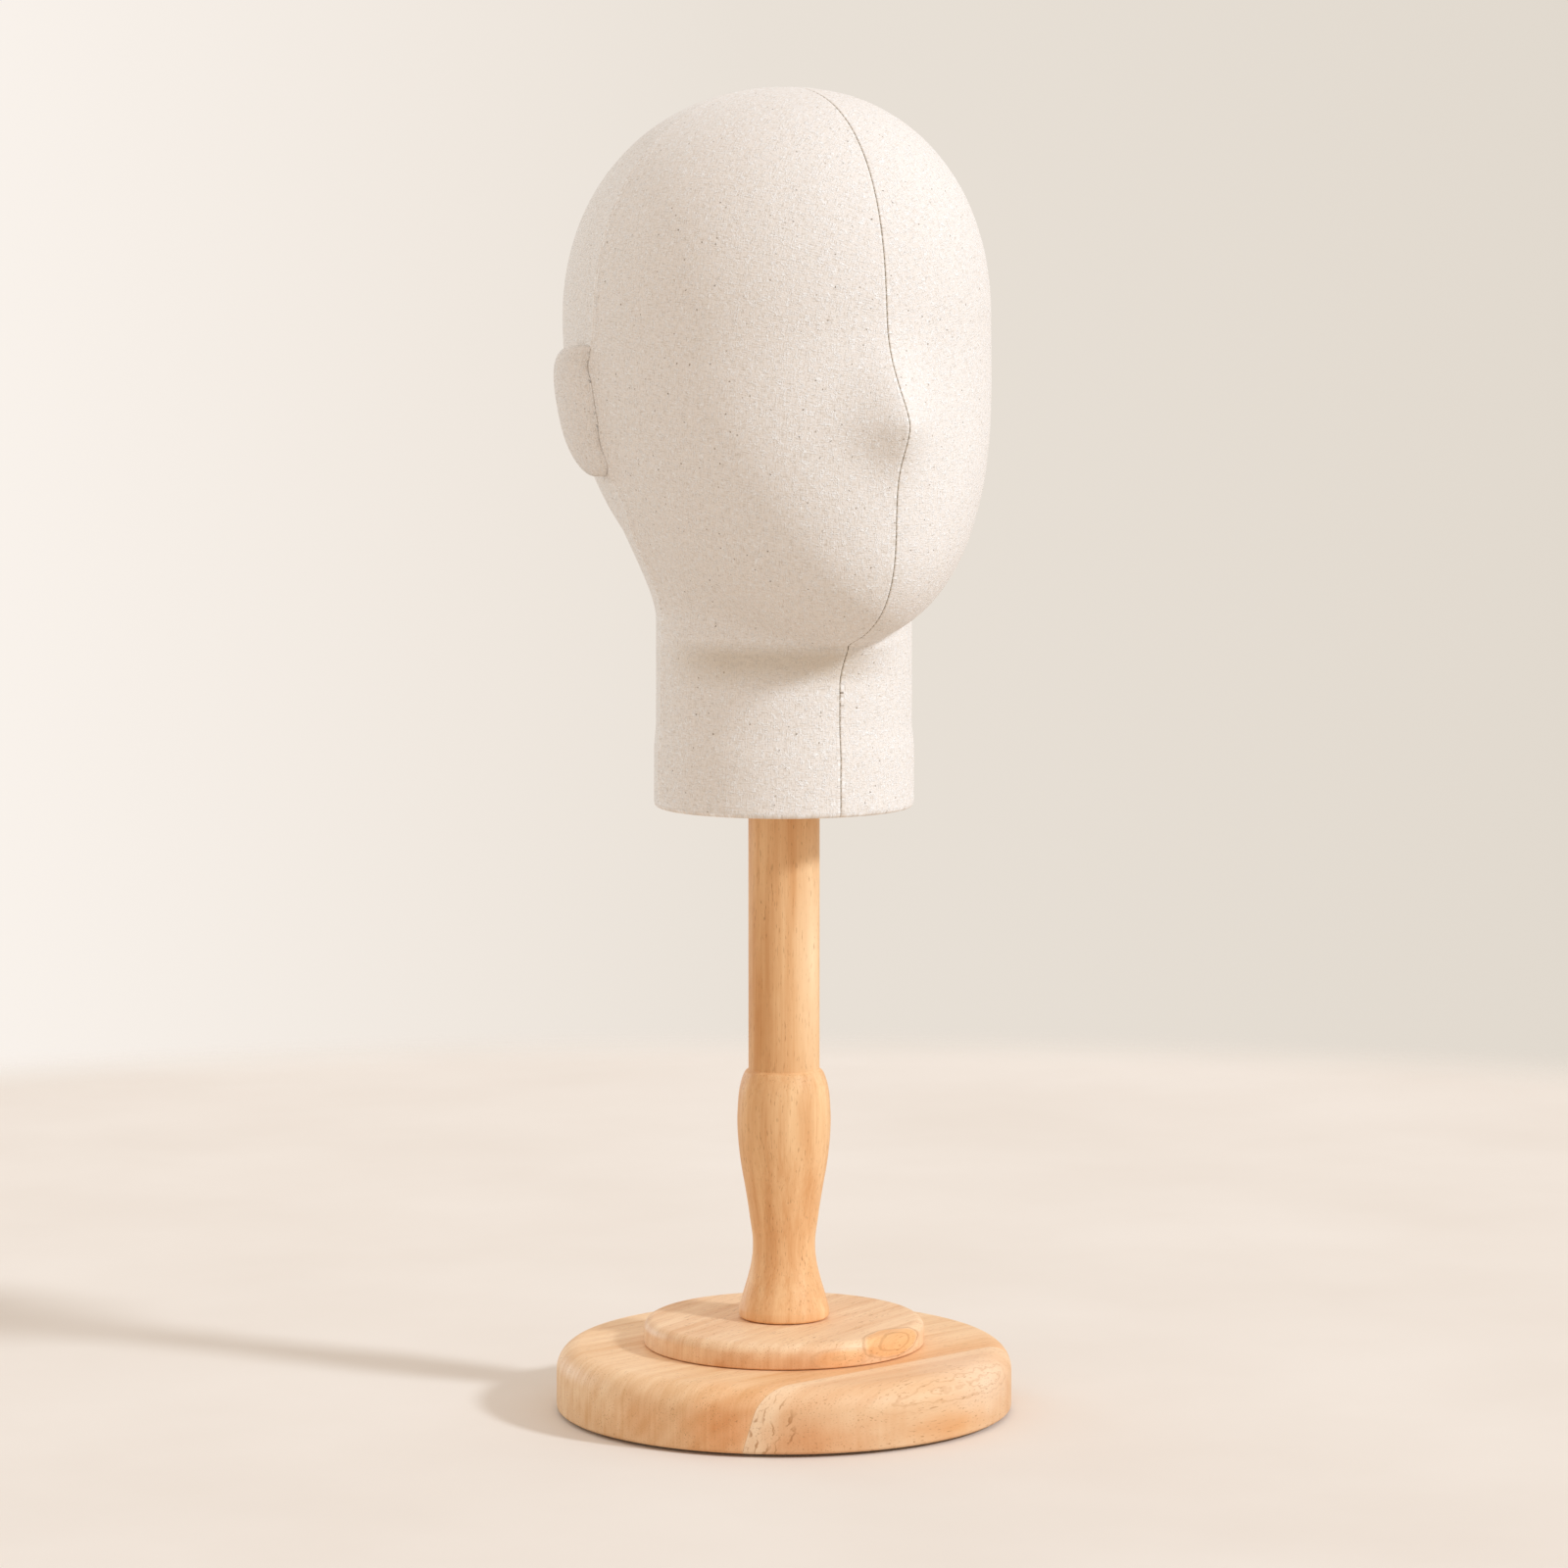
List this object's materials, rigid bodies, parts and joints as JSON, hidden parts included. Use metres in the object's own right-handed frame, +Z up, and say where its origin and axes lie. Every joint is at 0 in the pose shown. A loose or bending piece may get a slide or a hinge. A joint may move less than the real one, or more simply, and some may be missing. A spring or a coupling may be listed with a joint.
{
  "type": "mannequin head",
  "caption": "Linen covered display head with sewn ears and a plain face, on a turned wooden post and a two-tier round base; the head turns on the post and lifts off.",
  "frame": {"origin": "middle of the flat underside of the base, on the axis of the post", "axes": "+Z up along the post, the face looks along -Y, the head's own left ear is on +X"},
  "size_m": [0.18, 0.2147, 0.5195],
  "materials": {
    "linen": "matte",
    "seam_thread": "matte",
    "foam": "matte",
    "padding": "matte",
    "plywood": "matte",
    "turned_wood": "satin",
    "pale_wood": "satin",
    "bush_plastic": "satin",
    "card_tube": "matte",
    "zinc_steel": "satin",
    "felt": "matte"
  },
  "bodies": {
    "stand": {"turned_post": "turned_wood", "upper_disc": "turned_wood", "lower_disc_main_board": "turned_wood", "lower_disc_front_board": "pale_wood", "hanger_bolt": "zinc_steel", "insert_nut": "zinc_steel", "disc_screw_1": "zinc_steel", "disc_screw_2": "zinc_steel", "disc_screw_3": "zinc_steel", "felt_pad": "felt"},
    "bush": {"neck_bush": "bush_plastic"},
    "head": {"head_core": "foam", "face_panel_left": "linen", "face_panel_right": "linen", "back_panel_left": "linen", "back_panel_right": "linen", "centre_seam_thread": "seam_thread", "back_seam_thread": "seam_thread", "side_seam_thread_left": "seam_thread", "side_seam_thread_right": "seam_thread", "left_ear_cover": "linen", "right_ear_cover": "linen", "left_ear_filling": "padding", "right_ear_filling": "padding", "neck_base_board": "plywood", "neck_base_cover": "linen", "socket_tube": "card_tube"}
  },
  "joints": [
    {"name": "head_lift", "type": "slide", "parent": "stand", "child": "bush", "axis": [0, 0, 1], "range_m": [0, 0.09]},
    {"name": "head_turn", "type": "hinge", "parent": "bush", "child": "head", "pos_m": [0, 0, 0.24], "axis": [0, 0, 1], "continuous": true}
  ]
}
